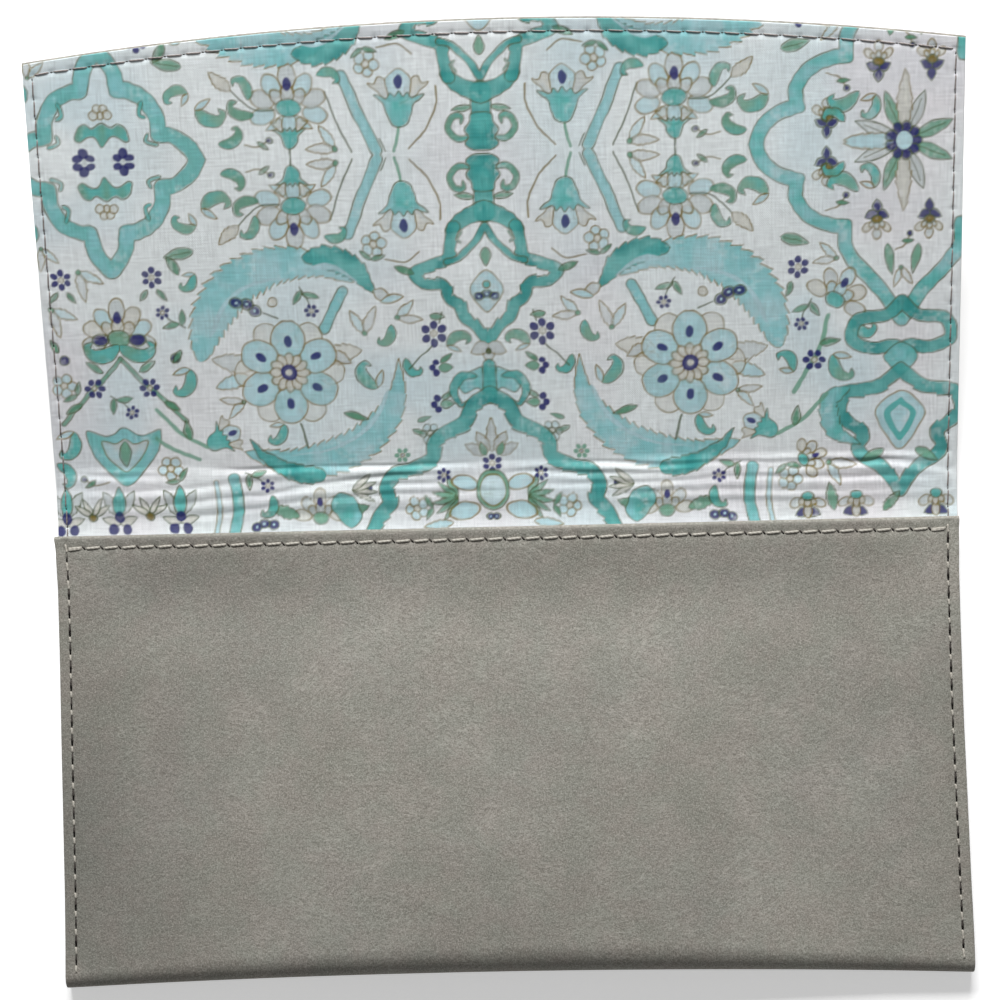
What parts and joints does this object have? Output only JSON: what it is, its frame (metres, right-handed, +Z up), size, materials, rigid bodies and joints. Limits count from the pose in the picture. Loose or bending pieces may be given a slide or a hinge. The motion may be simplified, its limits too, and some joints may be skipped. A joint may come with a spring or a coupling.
{
  "type": "wallet",
  "caption": "Long fold-over wallet: a lined leather pocket whose wide flap folds over at creases and shuts on hidden magnets, shown open.",
  "frame": {"origin": "middle of the pocket's back face, where the wallet lies on the table", "axes": "+X along the mouth, +Y from the bottom fold towards the open flap, +Z up, out of the pocket's front"},
  "size_m": [0.2, 0.208, 0.0307],
  "materials": {
    "leather": "smooth matt grey leather with fine grain",
    "lining": "plain woven cotton with a printed ornament",
    "fleece": "bonded fleece interlining",
    "magnet": "nickel plated disc magnet"
  },
  "bodies": {
    "pocket": {"pocket_leather": "leather", "front_fleece": "fleece", "back_fleece": "fleece", "pocket_lining": "lining", "front_magnet": "magnet"},
    "spine": {"spine_leather": "leather", "spine_fleece": "fleece", "spine_lining": "lining"},
    "flap": {"flap_leather": "leather", "flap_fleece": "fleece", "flap_lining": "lining", "flap_magnet": "magnet"}
  },
  "joints": [
    {"name": "spine_fold", "type": "hinge", "parent": "pocket", "child": "spine", "pos_m": [0, 0.05325, 0.0023], "axis": [1, 0, 0], "range_deg": [-8, 82]},
    {"name": "flap_fold", "type": "hinge", "parent": "spine", "child": "flap", "pos_m": [0, 0.06147, 0.00346], "axis": [1, 0, 0], "range_deg": [-8, 82]}
  ]
}
